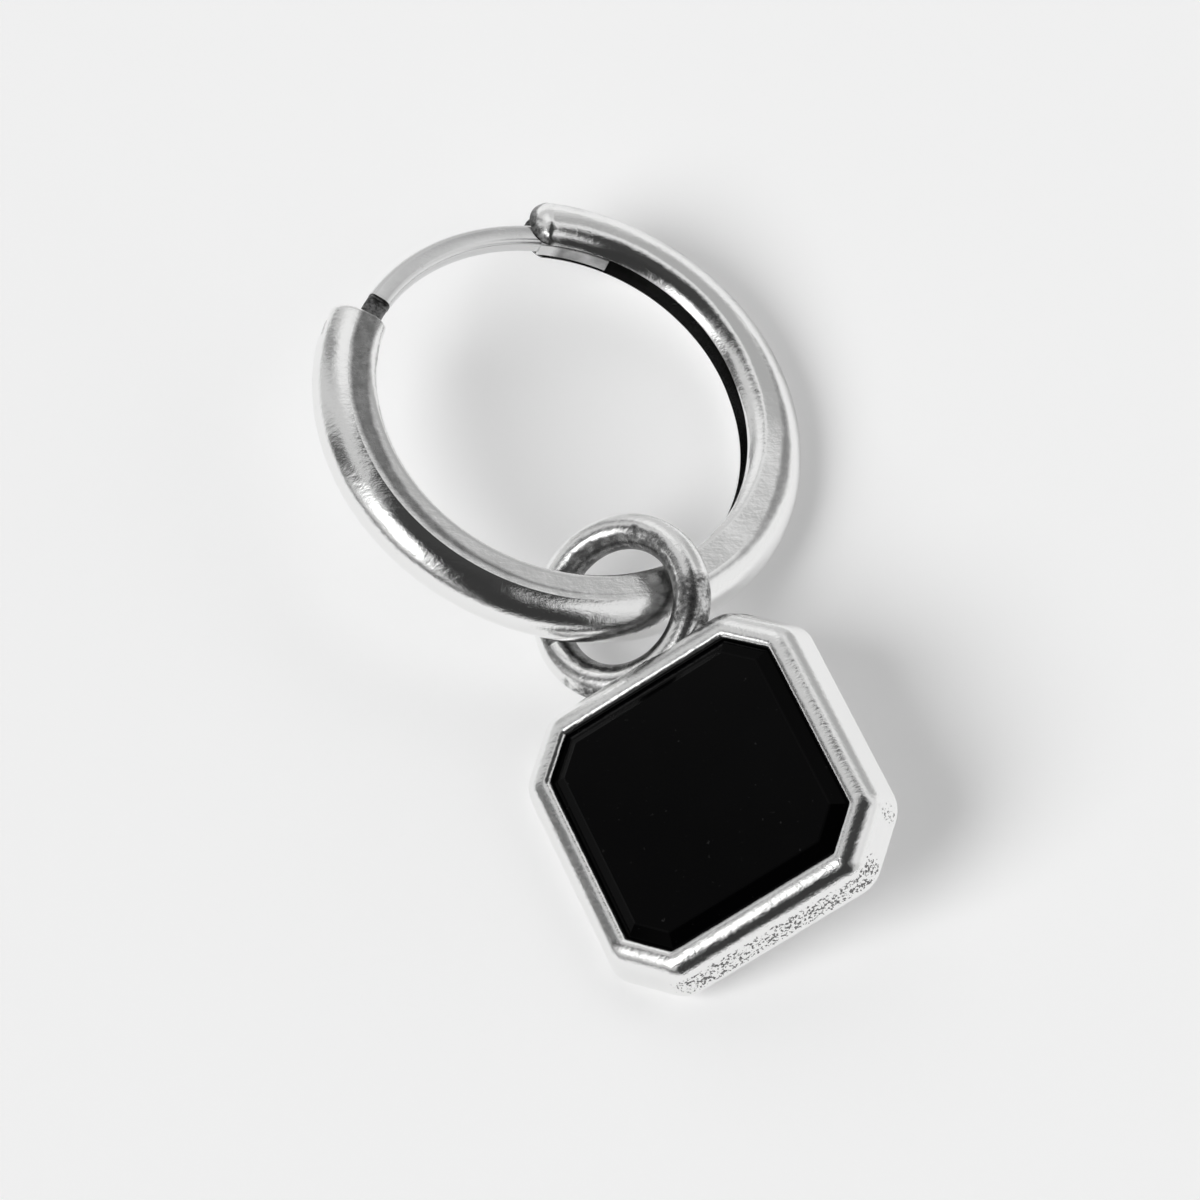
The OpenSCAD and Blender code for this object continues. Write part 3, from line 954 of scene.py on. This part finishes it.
def card_mask_group():
    """Mask of a soft-edged card seen in a direction: 1 inside, 0 outside."""
    vectors, values = ("Direction", "Aim", "Across", "Up"), ("Half width", "Half height", "Softness")
    group, given, result = group_with("card_mask", vectors, values, ("Mask",))

    def along(name):
        node = group.nodes.new("ShaderNodeVectorMath")
        node.operation = "DOT_PRODUCT"
        group.links.new(given["Direction"], node.inputs[0])
        group.links.new(given[name], node.inputs[1])
        return node.outputs["Value"]

    least = 0.05
    ahead = along("Aim")
    near = math_node(group, "MAXIMUM", ahead, least)
    mask = math_node(group, "GREATER_THAN", ahead, least)
    minus = math_node(group, "MULTIPLY", given["Softness"], -1.0)
    for axis, half in (("Across", "Half width"), ("Up", "Half height")):
        slope = math_node(group, "DIVIDE", along(axis), near)
        left = math_node(group, "SUBTRACT", given[half], math_node(group, "ABSOLUTE", slope))
        soft = group.nodes.new("ShaderNodeMapRange")
        soft.interpolation_type = "SMOOTHSTEP"
        group.links.new(left, soft.inputs["Value"])
        group.links.new(minus, soft.inputs["From Min"])
        group.links.new(given["Softness"], soft.inputs["From Max"])
        mask = math_node(group, "MULTIPLY", mask, soft.outputs[0])
    group.links.new(mask, result["Mask"])
    return group


# Cards of the studio: direction, height, width and tallness in degrees, softness of the edge, brightness
CARDS = (
    ("right_top", 20, 52, 80, 44, 0.20, 0.78),
    ("right_wall", 5, 8, 60, 30, 0.10, 0.86),
    ("far_right", 50, 24, 31, 36, 0.07, 0.42),
    ("left_window", 113, 42, 23, 34, 0.05, 0.87),
    ("left_line", 134, 17, 11, 40, 0.03, 0.27),
    ("overhead", 320, 81, 57, 52, 0.05, 0.05),
    ("front_foot", 265, 6, 80, 22, 0.10, 0.16),
    ("front", 268, 48, 44, 52, 0.06, 0.04),
    ("front_low", 281, 26, 54, 38, 0.06, 0.04),
    ("left_gap", 177, 24, 16, 52, 0.03, 0.08),
    ("left_foot", 208, 3, 66, 10, 0.03, 0.10),
    ("right_strip", 328, 38, 18, 26, 0.03, 0.80),
    ("key", 216, 41, 29, 32, 0.06, 1.7),
)


def studio_world(base):
    """Soft light from all round, with the cards laid over one another."""
    world = bpy.data.worlds.new("studio")
    world.use_nodes = True
    tree = world.node_tree
    where = tree.nodes.new("ShaderNodeTexCoord")
    group = card_mask_group()
    light = math_node(tree, "ADD", base, 0.0)
    for name, direction, height, width, tall, softness, brightness in CARDS:
        turned = Matrix.Rotation(direction * DEGREE, 3, "Z") @ Matrix.Rotation(-height * DEGREE, 3, "Y")
        card = place_group(
            tree, group, Aim=turned @ Vector((1, 0, 0)), Across=turned @ Vector((0, 1, 0)),
            Up=turned @ Vector((0, 0, 1)), Half_width=math.tan(width * DEGREE / 2),
            Half_height=math.tan(tall * DEGREE / 2), Softness=softness,
        )
        card.label = name
        tree.links.new(where.outputs["Generated"], card.inputs["Direction"])
        mix = tree.nodes.new("ShaderNodeMix")
        mix.inputs[3].default_value = brightness
        tree.links.new(card.outputs["Mask"], mix.inputs[0])
        tree.links.new(light, mix.inputs[2])
        light = mix.outputs[0]
    tree.links.new(light, tree.nodes["Background"].inputs["Strength"])
    set_inputs(tree.nodes["Background"], Color=(1, 1, 1, 1))
    return world


class EARRING_OT_stage(bpy.types.Operator):
    """Sets out the pale surface, the soft lights and the camera"""

    bl_idname = "earring.stage"
    bl_label = "Studio and camera"

    def execute(self, context):
        scene, studio = context.scene, settings("studio")
        bm = bmesh.new()
        bmesh.ops.create_grid(bm, x_segments=1, y_segments=1, size=0.6)
        floor = make_object("surface", bm)
        floor.data.materials.append(floor_material())
        scene.world = studio_world(studio.base)
        sun = bpy.data.lights.new("window", "SUN")
        sun.energy = studio.window
        sun.angle = studio.window_size
        window = bpy.data.objects.new("window", sun)
        turned, up = studio.window_turn, studio.window_up
        towards = Vector((math.cos(turned), math.sin(turned), math.tan(up)))
        window.rotation_euler = towards.to_track_quat("Z", "Y").to_euler()
        window.visible_glossy = False
        scene.collection.objects.link(window)
        scene.view_settings.view_transform = "Standard"
        camera = bpy.data.cameras.new("camera")
        camera.sensor_width = 36
        camera.lens = 150
        camera.clip_start = 0.001
        eye = bpy.data.objects.new("camera", camera)
        aim = Vector((studio.aim_x, studio.aim_y, 0))
        back = Vector((0, -math.cos(studio.camera_up), math.sin(studio.camera_up)))
        eye.location = aim + back * studio.camera_far
        eye.rotation_euler = (-back).to_track_quat("-Z", "Y").to_euler()
        scene.collection.objects.link(eye)
        scene.camera = eye
        return {"FINISHED"}


class EARRING_PT_panel(bpy.types.Panel):
    """Lists the earring's pieces and the studio"""

    bl_idname = "EARRING_PT_panel"
    bl_label = "Huggie earring"
    bl_space_type = "VIEW_3D"
    bl_region_type = "UI"
    bl_category = "Earring"

    def draw(self, context):
        for operator in OPERATORS:
            self.layout.operator(operator.bl_idname)


GROUPS = {
    "hoop": HoopSizes,
    "post": PostSizes,
    "drop": DropSizes,
    "finish": FinishColours,
    "studio": StudioSettings,
}
OPERATORS = (
    EARRING_OT_hoop, EARRING_OT_post, EARRING_OT_pin, EARRING_OT_setting, EARRING_OT_stone, EARRING_OT_stage,
)


def register():
    for name, group in GROUPS.items():
        bpy.utils.register_class(group)
        setattr(bpy.types.Scene, "earring_" + name, PointerProperty(type=group))
    for operator in OPERATORS:
        bpy.utils.register_class(operator)
    bpy.utils.register_class(EARRING_PT_panel)


def unregister():
    bpy.utils.unregister_class(EARRING_PT_panel)
    for operator in reversed(OPERATORS):
        bpy.utils.unregister_class(operator)
    for name, group in reversed(list(GROUPS.items())):
        delattr(bpy.types.Scene, "earring_" + name)
        bpy.utils.unregister_class(group)


def main():
    register()
    bpy.ops.earring.hoop()
    bpy.ops.earring.post()
    bpy.ops.earring.pin()
    bpy.ops.earring.setting()
    bpy.ops.earring.stone()
    bpy.ops.earring.stage()


if __name__ == "__main__":
    main()
